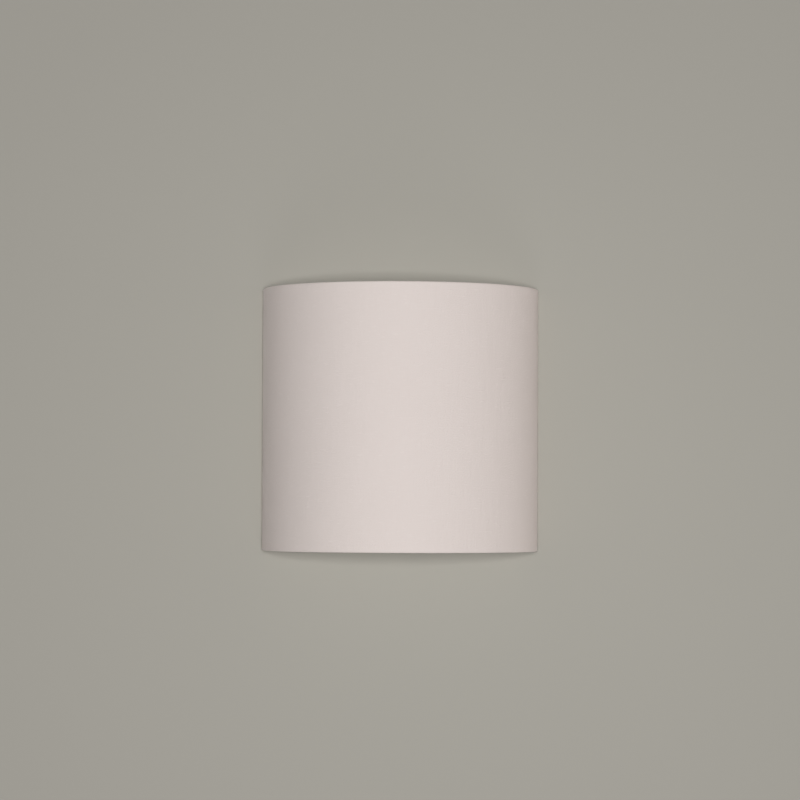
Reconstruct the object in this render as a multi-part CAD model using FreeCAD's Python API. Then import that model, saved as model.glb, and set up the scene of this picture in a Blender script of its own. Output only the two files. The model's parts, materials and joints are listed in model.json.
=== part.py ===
"""Half-drum fabric wall light.

A half-round cloth shade hangs by a wire bar on two lips of a steel back plate, and lifts off upwards.
Behind and inside it are the wall strap, the back plate, the lampholder on its arm, the bulb and the wiring.

Millimetres. The wall is the plane y = 0 and the light stands out of it towards -Y. +Z is up.
The origin is the middle of the two wall fixings, at half the height of the shade.
"""

import FreeCAD, Part
import math
import os

Vector = FreeCAD.Vector
RIGHT = Vector(1, 0, 0)
TO_WALL = Vector(0, 1, 0)
UP = Vector(0, 0, 1)
DOWN = Vector(0, 0, -1)
FORWARD = Vector(0, -1, 0)

# ---------------------------------------------------------------- driving sizes

# Shade
shade_width = 254.0
shade_height = 241.0
cloth_thickness = 0.5
liner_thickness = 0.4
glue_film = 0.05
frame_wire = 3.0
weld_bead = 0.04  # how far the weld stands proud of the wires at the frame's corners
cloth_turn_in = 5.0  # flat band of cloth that is glued to the liner past each rolled edge
tuck_radius = 2.0  # bend where the cloth leaves the wire and comes back to the liner
shade_wall_gap = 2.0
pad_width = 3.6
pad_height = 16.0
pad_wrap = 1.2  # how far a wall pad reaches round the rolled edge

# Wall strap
strap_length = 88.0
strap_height = 22.0
strap_thickness = 2.0
strap_corner = 4.0
wall_slot_spacing = 50.8
wall_slot_length = 12.0
wall_slot_width = 5.0
plate_screw_spacing = 76.0
strap_collar_height = 2.0
strap_collar_wall = 1.2

# Back plate, a pressed pan
plate_width = 96.0
plate_height = 140.0
plate_depth = 24.0
plate_sheet = 1.0
plate_corner = 14.0
plate_bend = 3.0

# Lips that the shade hangs on
lip_spacing = 60.0
lip_width = 12.0
lip_sheet = 1.5
lip_height = 9.0
lip_flare_length = 3.5
lip_flare_angle = 25.0
lip_bend = 1.5
lip_foot = 11.0
lip_rivet = 3.2
lip_rivet_head = 5.6
lip_rivet_head_height = 1.2
lip_play = 0.3  # between the hanging bar and what holds it

# Arm that carries the lampholder
arm_width = 24.0
arm_sheet = 2.0
arm_leg_on_plate = 36.0
arm_bend = 4.0
arm_gusset = 13.0
arm_gusset_width = 4.0
arm_corner = 5.0
holder_drop = 16.0  # from the back plate's lower edge to the arm's upper face, where the lampholder stands
lamp_reach = 64.0  # from the wall to the lamp's axis

# Fasteners
screw_thread = 4.0
screw_head = 8.0
screw_head_height = 2.6
screw_slot = 1.0
screw_slot_depth = 1.1
screw_play = 0.1
nut_across_flats = 7.0
nut_height = 3.2
arm_screw_spacing = 15.0
arm_screw_drop = 9.0  # from the arm's top edge to the upper screw
arm_screw_tail = 1.2

# Hollow threaded tube through arm and lampholder
nipple_diameter = 10.0
nipple_bore = 7.0
nipple_above = 8.0
nipple_below = 1.5
nipple_nut_flats = 14.0
nipple_nut_height = 3.0
washer_diameter = 17.0
washer_thickness = 1.0
washer_teeth = 12
bush_flange = 1.6
bush_bore = 6.0
bush_depth = 4.0

# Lampholder, E27
holder_radius = 20.0
holder_neck_radius = 9.0
holder_neck_height = 5.0
holder_cap_height = 19.0
holder_shoulder_height = 13.0
holder_wall = 2.0
holder_height = 54.0
holder_mouth_radius = 15.4
holder_rim_round = 1.2
holder_grips = 20
holder_grip_depth = 0.5
holder_grip_width = 2.4
holder_grip_height = 15.0
spigot_depth = 4.0
spigot_wall = 1.5
spigot_play = 0.1
block_radius = 15.6
block_base = 15.0
block_height = 7.0
shell_bore_radius = 13.5
shell_wall = 0.4
shell_flange_radius = 15.2
shell_height = 28.0
contact_width = 6.0
contact_sheet = 0.5
contact_angle = 35.0
contact_foot = 3.5
contact_pad = 4.0
contact_play = 0.3  # between the leaf and the bulb's tip

# Bulb, A60 with an E27 cap
bulb_tip_height = 27.0  # above the holder's seat
tip_radius = 4.5
tip_height = 1.4
insulator_top_radius = 11.6
cap_radius = 13.1
cap_wall = 0.5
cap_height = 22.0
cap_start = 4.6
bulb_radius = 30.0
bulb_centre = 79.0  # above the tip
bulb_neck_radius = 13.8
bulb_neck_top = 29.0
bulb_collar_top = 66.0
bulb_wall = 1.4
globe_wall = 1.1
globe_lap = 2.5
led_board_radius = 22.0
led_board_thickness = 1.6
led_count = 8
led_ring_radius = 15.0
led_size = 3.0
led_height = 0.8

# Terminal block inside the back plate
block_ways = 3
way_pitch = 10.0
way_width = 8.4
way_length = 18.0
way_depth = 11.0
way_round = 3.4
block_web = 3.0
block_bottom = 16.0  # height of the side where the lamp leads go in
insert_diameter = 5.0
insert_bore = 3.2
insert_end_gap = 1.0
insert_play = 0.05
clamp_screw = 2.6
clamp_screw_spacing = 9.0
clamp_screw_head = 3.4
clamp_tower = 5.6
clamp_tower_height = 1.6
clamp_sink = 0.8
block_screw_thread = 2.5
block_screw_head = 4.6

# Wiring
lead_diameter = 2.2
lead_spread = 1.25  # half the distance between the two leads in the nipple
lead_entry = 3.0
grommet_hole = 10.0
grommet_flange = 14.0
grommet_bore = 6.4
grommet_thickness = 4.2
grommet_setback = 12.5  # from the wall
earth_screw_side = 30.0
earth_screw_height = -24.0
tag_diameter = 8.4
tag_thickness = 0.8
tag_barrel = 3.6
tag_barrel_length = 5.0

# ---------------------------------------------------------------- sizes worked out from them

cloth_radius = shade_width / 2
liner_outer = cloth_radius - cloth_thickness - glue_film
liner_inner = liner_outer - liner_thickness
wire_radius = frame_wire / 2
ring_radius = liner_inner - glue_film - wire_radius
roll_inner = wire_radius + (2 * glue_film + liner_thickness) / 2
roll_middle = roll_inner + cloth_thickness / 2
roll_outer = roll_inner + cloth_thickness
roll_centre = cloth_radius - roll_outer
roll_height = shade_height / 2 - roll_outer
shade_axis_y = -(shade_wall_gap + roll_outer)

plate_top = plate_height / 2
arm_top = -plate_top + arm_leg_on_plate
holder_seat = -plate_top - holder_drop
hang_height = plate_top + lip_play + wire_radius
plate_front = -plate_depth
plate_inner_front = plate_front + plate_sheet
arm_front = plate_front - arm_sheet
lamp_y = -lamp_reach
lamp_axis = Vector(0, lamp_y, 0)
arm_underside = holder_seat - arm_sheet
washer_underside = arm_underside - washer_thickness
nut_underside = washer_underside - nipple_nut_height
nipple_bottom = nut_underside - nipple_below
block_base_z = holder_seat + block_base
block_top_z = block_base_z + block_height
tip_z = holder_seat + bulb_tip_height
insert_height = plate_inner_front + block_web + insert_diameter / 2 + 0.6
terminal_front = plate_inner_front + way_depth
screw_hole = screw_thread / 2 + screw_play

parts = {}


# ---------------------------------------------------------------- shared shapes


def in_section(u, v):
    """A point of a drawing made in the plane x-z through the shade's axis."""
    return Vector(u, shade_axis_y, v)


def in_lamp_section(u, v):
    """A point of a drawing made in the plane x-z through the lamp's axis."""
    return Vector(u, lamp_y, v)


def in_plan(u, v):
    """A point of a drawing made in the plane x-y."""
    return Vector(u, v, 0)


def in_side(u, v):
    """A point of a drawing made in the plane y-z."""
    return Vector(0, u, v)


def outline(place, start, *steps):
    """A closed face. A step is a point for a straight line, or (middle, end) for an arc."""
    edges = []
    at = start
    for step in steps + (start,):
        if isinstance(step[0], tuple):
            middle, end = step
            edges.append(Part.Arc(place(*at), place(*middle), place(*end)).toShape())
            at = end
        elif math.dist(at, step) > 1e-7:
            edges.append(Part.makeLine(place(*at), place(*step)))
            at = step
    return Part.Face(Part.Wire(edges))


def strip(place, start, heading, moves, thickness):
    """The face of a strip that follows straight runs and arcs, like bent sheet seen on edge.

    A move is (length,) for a run or (radius, turn) for an arc of the strip's middle line,
    where a positive turn goes left. Angles are in degrees.
    """
    half = thickness / 2
    sides = {1: [], -1: []}
    u, v = start
    angle = math.radians(heading)
    for move in moves:
        across = (-math.sin(angle), math.cos(angle))
        if len(move) == 1:
            run = (move[0] * math.cos(angle), move[0] * math.sin(angle))
            for side, edges in sides.items():
                a = (u + side * half * across[0], v + side * half * across[1])
                edges.append(Part.makeLine(place(*a), place(a[0] + run[0], a[1] + run[1])))
            u, v = u + run[0], v + run[1]
        else:
            radius, turn = move[0], math.radians(move[1])
            hand = 1 if turn > 0 else -1
            centre = (u + hand * radius * across[0], v + hand * radius * across[1])
            for side, edges in sides.items():
                r = radius - side * hand * half
                points = []
                for share in (0, 0.5, 1):
                    a = angle + turn * share
                    points.append(place(centre[0] + hand * r * math.sin(a),
                                        centre[1] - hand * r * math.cos(a)))
                edges.append(Part.Arc(*points).toShape())
            u = centre[0] + hand * radius * math.sin(angle + turn)
            v = centre[1] - hand * radius * math.cos(angle + turn)
            angle += turn
    caps = [
        Part.makeLine(sides[1][0].Vertexes[0].Point, sides[-1][0].Vertexes[0].Point),
        Part.makeLine(sides[1][-1].Vertexes[-1].Point, sides[-1][-1].Vertexes[-1].Point),
    ]
    edges = Part.__sortEdges__(sides[1] + sides[-1] + caps)
    return Part.Face(Part.Wire(edges))


def turned(face, axis=lamp_axis):
    """A full turn of a section about an upright axis."""
    return face.revolve(axis, UP, 360)


def half_drum(face):
    """A section at +X swept through the front half turn to -X, round the shade's axis."""
    return face.revolve(Vector(0, shade_axis_y, 0), DOWN, 180)


def mirrored(shape):
    """The same shape on the other side of the plane x = 0."""
    return shape.mirror(Vector(0, 0, 0), RIGHT)


def fused(shapes):
    return shapes[0].multiFuse(shapes[1:]).removeSplitter()


def cut(shape, *tools):
    return shape.cut(list(tools))


def pin(radius, start, direction, length):
    return Part.makeCylinder(radius, length, start, direction)


def hexagon(across_flats, height, start, direction):
    """A hexagonal prism that stands on start and rises along direction."""
    corner = across_flats / math.sqrt(3)
    points = []
    for k in range(7):
        a = math.radians(60 * k)
        points.append(Vector(corner * math.cos(a), corner * math.sin(a), 0))
    prism = Part.Face(Part.makePolygon(points)).extrude(Vector(0, 0, height))
    prism.Placement = FreeCAD.Placement(start, FreeCAD.Rotation(UP, direction))
    return prism


def domed_head(radius, edge, height):
    """A round head: an upright edge, then a dome that is part of a ball centred on the axis."""
    rise = height - edge
    ball = (radius**2 + rise**2) / (2 * rise)
    half_angle = math.asin(radius / ball) / 2
    middle = (ball * math.sin(half_angle), height - ball * (1 - math.cos(half_angle)))
    face = outline(
        lambda u, v: Vector(u, 0, v),
        (0, 0), (radius, 0), (radius, edge), (middle, (0, height)),
    )
    return face.revolve(Vector(0, 0, 0), UP, 360)


def slotted_screw(thread, length, head, head_height, seat, inwards, slot=screw_slot, depth=screw_slot_depth):
    """A screw with a domed, slotted head. Its head stands on seat and its shank runs along inwards."""
    edge = head_height * 0.45
    body = domed_head(head / 2, edge, head_height)
    body = body.fuse(pin(thread / 2, Vector(0, 0, 0), DOWN, length))
    groove = Part.makeBox(head * 2, slot, depth, Vector(-head, -slot / 2, head_height - depth))
    body = cut(body, groove)
    body.Placement = FreeCAD.Placement(seat, FreeCAD.Rotation(DOWN, inwards))
    return body


def lead(points, label):
    """A lead along straight runs joined by arcs as large as the runs allow."""
    edges = []
    radii = []
    at = points[0]
    for before, corner, after in zip(points, points[1:], points[2:]):
        back = before - corner
        on = after - corner
        turn = math.pi - back.getAngle(on)
        if turn < 1e-6:
            continue
        reach = 0.45 * min(back.Length, on.Length)
        radius = reach / math.tan(turn / 2)
        radii.append(round(radius, 1))
        start = corner + back.normalize() * reach
        end = corner + on.normalize() * reach
        towards = (start + end) * 0.5 - corner
        sagitta = radius / math.cos(turn / 2) - radius
        middle = corner + towards.normalize() * sagitta
        edges.append(Part.makeLine(at, start))
        edges.append(Part.Arc(start, middle, end).toShape())
        at = end
    edges.append(Part.makeLine(at, points[-1]))
    path = Part.Wire(edges)
    section = Part.Wire(Part.makeCircle(lead_diameter / 2, points[0], points[1] - points[0]))
    tube = path.makePipeShell([section], True, True)
    expected = math.pi * (lead_diameter / 2) ** 2 * path.Length
    print(f"{label}: length {path.Length:.1f}, radii {radii}, volume over section times length "
          f"{tube.Volume / expected:.4f}")
    return tube


def save(name, shape):
    parts[name] = shape


# ---------------------------------------------------------------- shade


def ring_wire(radius, height, with_bar):
    """The half-round wire at the top or bottom of the shade, with a straight bar across the back or not."""
    end = in_section(ring_radius, height)
    circle = Part.Face(Part.Wire(Part.makeCircle(radius, end, TO_WALL)))
    pieces = [half_drum(circle)]
    for x in (-ring_radius, ring_radius):
        pieces.append(Part.makeSphere(radius + weld_bead, in_section(x, height)))
    if with_bar:
        pieces.append(pin(radius, in_section(-ring_radius, height), RIGHT, 2 * ring_radius))
    return fused(pieces)


def upright_wire(radius, side):
    return pin(radius, in_section(side * ring_radius, -roll_height), UP, 2 * roll_height)


def cross_wire(radius):
    return pin(radius, in_section(-ring_radius, hang_height), RIGHT, 2 * ring_radius)


def rolled_edge_moves(tuck_depth):
    """Moves that carry the cloth round the wire and back onto the liner, then on for the turn-in."""
    around = math.degrees(math.acos(1 - tuck_depth / (roll_middle + tuck_radius)))
    return [(roll_middle, 180 + around), (tuck_radius, -around), (cloth_turn_in,)]


def shade_cloth(wires):
    """Cloth on the outside of the liner, rolled round the wires on all four edges and glued inside."""
    wall_middle = cloth_radius - cloth_thickness / 2
    band_middle = liner_inner - glue_film - cloth_thickness / 2
    over_top = rolled_edge_moves(band_middle - (roll_centre - roll_middle))
    upper = strip(in_section, (wall_middle, 0), 90, [(roll_height,)] + over_top, cloth_thickness)
    lower = upper.mirror(Vector(0, 0, 0), UP)
    drum = half_drum(upper).fuse(half_drum(lower))

    # At the sides the liner curves away from the straight band, so the band keeps clear of it.
    reach = cloth_turn_in + roll_middle + tuck_radius
    band_at_side = math.sqrt(liner_inner**2 - reach**2) - glue_film - cloth_thickness / 2
    over_side = rolled_edge_moves(band_at_side - (roll_centre - roll_middle))
    side = strip(in_plan, (wall_middle, shade_axis_y), 90, over_side, cloth_thickness)
    side.translate(Vector(0, 0, -roll_height))
    side = side.extrude(Vector(0, 0, 2 * roll_height))
    pieces = [drum, side, mirrored(side)]
    for x in (-roll_centre, roll_centre):
        for z in (-roll_height, roll_height):
            pieces.append(Part.makeSphere(roll_outer - glue_film / 2, in_section(x, z)))
    return cut(fused(pieces), *wires)


def shade_liner(play=0.0):
    low = liner_inner - play
    high = liner_outer + play
    top = roll_height + play
    return half_drum(outline(in_section, (low, -top), (high, -top), (high, top), (low, top)))


def wall_pad(side):
    """A felt pad on the back of a rolled side edge, so that the shade stands off the wall."""
    low = -roll_height + roll_outer
    depth = shade_wall_gap + pad_wrap
    block = Part.makeBox(pad_width, depth, pad_height,
                         Vector(side * roll_centre - pad_width / 2, -depth, low))
    return cut(block, pin(roll_outer, in_section(side * roll_centre, low - 1), UP, pad_height + 2))


def make_shade():
    clear = wire_radius + glue_film
    top = ring_wire(wire_radius, roll_height, True)
    bottom = ring_wire(wire_radius, -roll_height, False)
    uprights = {side: cut(upright_wire(wire_radius, side), top, bottom) for side in (-1, 1)}
    channels = [
        ring_wire(clear, roll_height, True),
        ring_wire(clear, -roll_height, False),
        upright_wire(clear, -1),
        upright_wire(clear, 1),
        cross_wire(clear),
        shade_liner(glue_film / 2),
    ]
    save("fabric_cover", shade_cloth(channels))
    save("shade_liner", shade_liner())
    save("top_frame_wire", top)
    save("bottom_frame_wire", bottom)
    save("left_upright_wire", uprights[-1])
    save("right_upright_wire", uprights[1])
    save("hanging_bar", cut(cross_wire(wire_radius), uprights[-1], uprights[1]))
    save("wall_pads", Part.makeCompound([wall_pad(-1), wall_pad(1)]))


# ---------------------------------------------------------------- wall strap and back plate


def wall_slot(x):
    """One slot of the strap, as a solid to cut away."""
    run = wall_slot_length - wall_slot_width
    radius = wall_slot_width / 2
    deep = strap_thickness + 2
    back = Vector(x, 1, 0)
    middle = Part.makeBox(run, deep, wall_slot_width, back + Vector(-run / 2, -deep, -radius))
    ends = [pin(radius, back + Vector(shift, 0, 0), FORWARD, deep) for shift in (-run / 2, run / 2)]
    return fused([middle] + ends)


def make_strap():
    strap = Part.makeBox(strap_length, strap_thickness, strap_height,
                         Vector(-strap_length / 2, -strap_thickness, -strap_height / 2))
    corners = [e for e in strap.Edges if abs(e.tangentAt(e.FirstParameter).dot(TO_WALL)) > 0.99]
    strap = strap.makeFillet(strap_corner, corners)
    tools = []
    for x in (-plate_screw_spacing / 2, plate_screw_spacing / 2):
        foot = Vector(x, -strap_thickness, 0)
        strap = strap.fuse(pin(screw_hole + strap_collar_wall, foot, FORWARD, strap_collar_height))
        tools.append(pin(screw_hole, Vector(x, 1, 0), FORWARD, strap_thickness + strap_collar_height + 2))
    for x in (-wall_slot_spacing / 2, wall_slot_spacing / 2):
        tools.append(wall_slot(x))
    save("wall_strap", cut(strap, *tools))


def pan_block(width, height, depth, corner, bend, back=0.0):
    """A block with rounded corners and a rounded front edge, from y = back forwards to y = -depth."""
    block = Part.makeBox(width, depth + back, height, Vector(-width / 2, -depth, -height / 2))
    corners = [e for e in block.Edges if abs(e.tangentAt(e.FirstParameter).dot(TO_WALL)) > 0.99]
    block = block.makeFillet(corner, corners)
    front = [e for e in block.Edges if e.BoundBox.YMax < -depth + 0.01]
    return block.makeFillet(bend, front)


def arm_screw_heights():
    first = arm_top - arm_screw_drop
    return (first, first - arm_screw_spacing)


def lip_bar_gap():
    """y of the face of the lips that holds the hanging bar from in front."""
    return shade_axis_y - wire_radius - lip_play


def lip_rivet_y():
    return lip_bar_gap() - lip_bend - lip_sheet - (lip_foot - lip_bend) / 2


def earth_screw_seat():
    return Vector(earth_screw_side, plate_inner_front + tag_thickness, earth_screw_height)


def make_back_plate():
    outer = pan_block(plate_width, plate_height, plate_depth, plate_corner, plate_bend)
    inner = pan_block(plate_width - 2 * plate_sheet, plate_height - 2 * plate_sheet,
                      plate_depth - plate_sheet, plate_corner - plate_sheet, plate_bend - plate_sheet, 1.0)
    through = plate_sheet + 2
    tools = [inner]
    for z in arm_screw_heights():
        tools.append(pin(screw_hole, Vector(0, plate_front - 1, z), TO_WALL, through))
    for x in (-plate_screw_spacing / 2, plate_screw_spacing / 2):
        tools.append(pin(screw_hole, Vector(x, plate_front - 1, 0), TO_WALL, through))
    for x in (-lip_spacing / 2, lip_spacing / 2):
        tools.append(pin(lip_rivet / 2, Vector(x, lip_rivet_y(), plate_top + 1), DOWN, through))
    earth = earth_screw_seat()
    tools.append(pin(screw_hole, Vector(earth.x, plate_front - 1, earth.z), TO_WALL, through))
    tools.append(pin(block_screw_thread / 2 + screw_play,
                     Vector(way_pitch / 2, plate_front - 1, block_bottom + way_length / 2), TO_WALL, through))
    tools.append(pin(grommet_hole / 2, Vector(0, -grommet_setback, -plate_top - 1), UP, through))
    save("back_plate", cut(outer, *tools))


def make_plate_screws():
    length = plate_depth - strap_thickness / 2
    screws = [
        slotted_screw(screw_thread, length, screw_head, screw_head_height, Vector(x, plate_front, 0), TO_WALL)
        for x in (-plate_screw_spacing / 2, plate_screw_spacing / 2)
    ]
    save("plate_screws", Part.makeCompound(screws))


def hanging_lip(x):
    """A small bent bracket: its foot lies on the plate's top edge and its lip stands before the bar."""
    middle_bend = lip_bend + lip_sheet / 2
    lip_y = lip_bar_gap() - lip_sheet / 2
    foot_run = lip_foot - lip_bend
    start = (lip_y - middle_bend - foot_run, plate_top + lip_sheet / 2)
    rise = lip_height - lip_bend
    moves = [(foot_run,), (middle_bend, 90), (rise,), (middle_bend, lip_flare_angle), (lip_flare_length,)]
    bracket = strip(in_side, start, 0, moves, lip_sheet)
    bracket.translate(Vector(x - lip_width / 2, 0, 0))
    bracket = bracket.extrude(Vector(lip_width, 0, 0))
    hole = pin(lip_rivet / 2, Vector(x, lip_rivet_y(), plate_top - 1), UP, lip_sheet + 2)
    return cut(bracket, hole)


def rivet(x):
    """A rivet with a domed head on each side, through a lip's foot and the plate's top edge."""
    grip = lip_sheet + plate_sheet
    low = plate_top - plate_sheet
    centre = Vector(x, lip_rivet_y(), low)
    dome = domed_head(lip_rivet_head / 2, lip_rivet_head_height * 0.2, lip_rivet_head_height)
    upper = dome.copy()
    upper.Placement = FreeCAD.Placement(centre + UP * grip, FreeCAD.Rotation(UP, UP))
    lower = dome.copy()
    lower.Placement = FreeCAD.Placement(centre, FreeCAD.Rotation(UP, DOWN))
    return fused([pin(lip_rivet / 2, centre, UP, grip), upper, lower])


def make_lips():
    sides = (-lip_spacing / 2, lip_spacing / 2)
    save("hanging_lips", Part.makeCompound([hanging_lip(x) for x in sides]))
    save("lip_rivets", Part.makeCompound([rivet(x) for x in sides]))


# ---------------------------------------------------------------- arm and its fasteners


def make_arm():
    middle_bend = arm_bend + arm_sheet / 2
    leg_y = plate_front - arm_sheet / 2
    drop = arm_top - (holder_seat - arm_sheet / 2) - middle_bend
    reach = abs(lamp_y - leg_y) - middle_bend
    tongue = arm_width / 2
    bent = strip(in_side, (leg_y, arm_top), -90, [(drop,), (middle_bend, -90), (reach + tongue,)], arm_sheet)
    bent.translate(Vector(-arm_width / 2, 0, 0))
    bent = bent.extrude(Vector(arm_width, 0, 0))
    top_edges = [e for e in bent.Edges if e.BoundBox.ZMin > arm_top - 0.01 and e.BoundBox.YLength > arm_sheet / 2]
    bent = bent.makeFillet(arm_corner, top_edges)

    # The far end is round about the lamp's axis.
    below = arm_underside - 1
    tall = arm_top - below + 1
    keep = Part.makeBox(arm_width + 2, lamp_reach, tall, Vector(-arm_width / 2 - 1, lamp_y, below))
    keep = keep.fuse(pin(tongue, Vector(0, lamp_y, below), UP, tall))
    bent = bent.common(keep)

    corner = (arm_front, holder_seat)
    web = outline(in_side, corner, (corner[0], corner[1] + arm_gusset), (corner[0] - arm_gusset, corner[1]))
    web.translate(Vector(-arm_gusset_width / 2, 0, 0))
    web = web.extrude(Vector(arm_gusset_width, 0, 0))
    tools = [pin(nipple_diameter / 2 + screw_play, Vector(0, lamp_y, below), UP, arm_sheet + 2)]
    for z in arm_screw_heights():
        tools.append(pin(screw_hole, Vector(0, arm_front - 1, z), TO_WALL, arm_sheet + 2))
    save("lampholder_arm", cut(fused([bent, web]), *tools))


def make_arm_fasteners():
    length = arm_sheet + plate_sheet + nut_height + arm_screw_tail
    screws = []
    nuts = []
    for z in arm_screw_heights():
        screws.append(slotted_screw(screw_thread, length, screw_head, screw_head_height,
                                    Vector(0, arm_front, z), TO_WALL))
        seat = Vector(0, plate_inner_front, z)
        nut = hexagon(nut_across_flats, nut_height, seat, TO_WALL)
        nuts.append(cut(nut, pin(screw_hole, seat + FORWARD, TO_WALL, nut_height + 2)))
    save("arm_screws", Part.makeCompound(screws))
    save("arm_nuts", Part.makeCompound(nuts))


def make_nipple():
    bottom = Vector(0, lamp_y, nipple_bottom)
    length = holder_seat + nipple_above - nipple_bottom
    tube = pin(nipple_diameter / 2, bottom, UP, length)
    save("threaded_nipple", cut(tube, pin(nipple_bore / 2, bottom + DOWN, UP, length + 2)))

    clear = nipple_diameter / 2 + screw_play
    seat = Vector(0, lamp_y, nut_underside)
    nut = hexagon(nipple_nut_flats, nipple_nut_height, seat, UP)
    save("nipple_nut", cut(nut, pin(clear, seat + DOWN, UP, nipple_nut_height + 2)))

    seat = Vector(0, lamp_y, washer_underside)
    washer = pin(washer_diameter / 2, seat, UP, washer_thickness)
    notches = [pin(clear, seat + DOWN, UP, washer_thickness + 2)]
    notch_radius = math.pi * washer_diameter / washer_teeth / 4
    for k in range(washer_teeth):
        a = 2 * math.pi * k / washer_teeth
        spoke = Vector(math.cos(a), math.sin(a), 0) * (washer_diameter / 2)
        notches.append(pin(notch_radius, seat + spoke + DOWN, UP, washer_thickness + 2))
    save("tooth_washer", cut(washer, *notches))

    # A plastic bush keeps the leads off the nipple's cut end.
    flange = nipple_diameter / 2
    lip = nipple_bore / 2 - screw_play
    bore = bush_bore / 2
    bush = outline(
        in_lamp_section,
        (bore, nipple_bottom - bush_flange), (flange - 0.6, nipple_bottom - bush_flange),
        (flange, nipple_bottom - bush_flange + 0.6), (flange, nipple_bottom),
        (lip, nipple_bottom), (lip, nipple_bottom + bush_depth), (bore, nipple_bottom + bush_depth),
    )
    save("nipple_bush", turned(bush))


# ---------------------------------------------------------------- lampholder


def grip_grooves(base):
    """Upright grooves round the skirt for the fingers."""
    grooves = []
    for k in range(holder_grips):
        a = 2 * math.pi * k / holder_grips
        away = holder_radius + holder_grip_width / 2 - holder_grip_depth
        foot = Vector(away * math.cos(a), lamp_y + away * math.sin(a), base)
        grooves.append(pin(holder_grip_width / 2, foot, UP, holder_grip_height))
    return grooves


def make_holder():
    base = holder_seat
    bore = nipple_diameter / 2 + screw_play
    inner = holder_radius - holder_wall
    shoulder = holder_shoulder_height
    flare = holder_radius - holder_neck_radius
    rise = shoulder - holder_neck_height
    bulge = (holder_neck_radius + flare * 0.62, base + holder_neck_height + rise * 0.30)
    inner_bulge = (holder_neck_radius - holder_wall + flare * 0.62,
                   base + holder_neck_height + holder_wall + rise * 0.30)
    socket_floor = base + nipple_above
    cap = outline(
        in_lamp_section,
        (bore, base), (holder_neck_radius, base), (holder_neck_radius, base + holder_neck_height),
        (bulge, (holder_radius, base + shoulder)),
        (holder_radius, base + holder_cap_height), (inner, base + holder_cap_height),
        (inner, base + shoulder + holder_wall),
        (inner_bulge, (holder_neck_radius, socket_floor)),
        (bore, socket_floor),
    )
    save("holder_cap", turned(cap))

    joint = base + holder_cap_height
    rim = base + holder_height
    rounding = holder_rim_round
    corner = rounding * (1 - math.sqrt(0.5))
    spigot_outer = inner - spigot_play
    spigot_inner = spigot_outer - spigot_wall
    skirt = outline(
        in_lamp_section,
        (holder_radius, joint), (holder_radius, rim - rounding),
        ((holder_radius - corner, rim - corner), (holder_radius - rounding, rim)),
        (holder_mouth_radius, rim), (holder_mouth_radius, rim - holder_wall),
        (spigot_inner, rim - holder_wall - 1), (spigot_inner, joint - spigot_depth),
        (spigot_outer, joint - spigot_depth), (spigot_outer, joint),
    )
    save("holder_skirt", cut(turned(skirt), *grip_grooves(joint + 1)))

    block_foot = Vector(0, lamp_y, block_base_z)
    block = pin(block_radius, block_foot, UP, block_height)
    tools = [
        pin(lead_diameter / 2 + 0.1, block_foot + Vector(side * lead_spread, 0, -1), UP, lead_entry + 1.5)
        for side in (-1, 1)
    ]
    save("contact_block", cut(block, *tools))

    shell_outer = shell_bore_radius + shell_wall
    shell = outline(
        in_lamp_section,
        (shell_bore_radius - shell_wall, block_top_z), (shell_flange_radius, block_top_z),
        (shell_flange_radius, block_top_z + shell_wall), (shell_outer, block_top_z + shell_wall),
        (shell_outer, block_top_z + shell_height), (shell_bore_radius, block_top_z + shell_height),
        (shell_bore_radius, block_top_z + shell_wall), (shell_bore_radius - shell_wall, block_top_z + shell_wall),
    )
    save("screw_shell", turned(shell))

    # The centre contact is a sprung leaf that rises from its foot to the bulb's tip.
    half = contact_sheet / 2
    bend = 2 * contact_sheet
    lean = math.radians(contact_angle)
    rise = (tip_z - contact_play - half) - (block_top_z + half)
    slope = (rise - 2 * bend * (1 - math.cos(lean))) / math.sin(lean)
    run = slope * math.cos(lean) + 2 * bend * math.sin(lean)
    start = (-(contact_foot + run + contact_pad / 2), block_top_z + half)
    moves = [(contact_foot,), (bend, contact_angle), (slope,), (bend, -contact_angle), (contact_pad,)]
    leaf = strip(in_lamp_section, start, 0, moves, contact_sheet)
    leaf.translate(Vector(0, -contact_width / 2, 0))
    save("centre_contact", leaf.extrude(Vector(0, contact_width, 0)))


# ---------------------------------------------------------------- bulb


def bulb_curve():
    """The neck's arc and the globe are tangent. Returns the arc's radius and the angle where they meet."""
    above = bulb_centre - bulb_neck_top
    beside = bulb_radius - bulb_neck_radius
    meet = 2 * math.atan(beside / above)
    return above / math.sin(meet) - bulb_radius, meet


def bulb_radius_at(height, inset):
    """The bulb's radius at a height above its tip, inset by a wall."""
    arc, meet = bulb_curve()
    if height <= bulb_neck_top:
        return bulb_neck_radius - inset
    if height < bulb_centre - bulb_radius * math.sin(meet):
        drop = height - bulb_neck_top
        return bulb_neck_radius + arc - math.sqrt((arc + inset) ** 2 - drop**2)
    return math.sqrt((bulb_radius - inset) ** 2 - (height - bulb_centre) ** 2)


def on_bulb(height, inset):
    return (bulb_radius_at(height, inset), tip_z + height)


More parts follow.
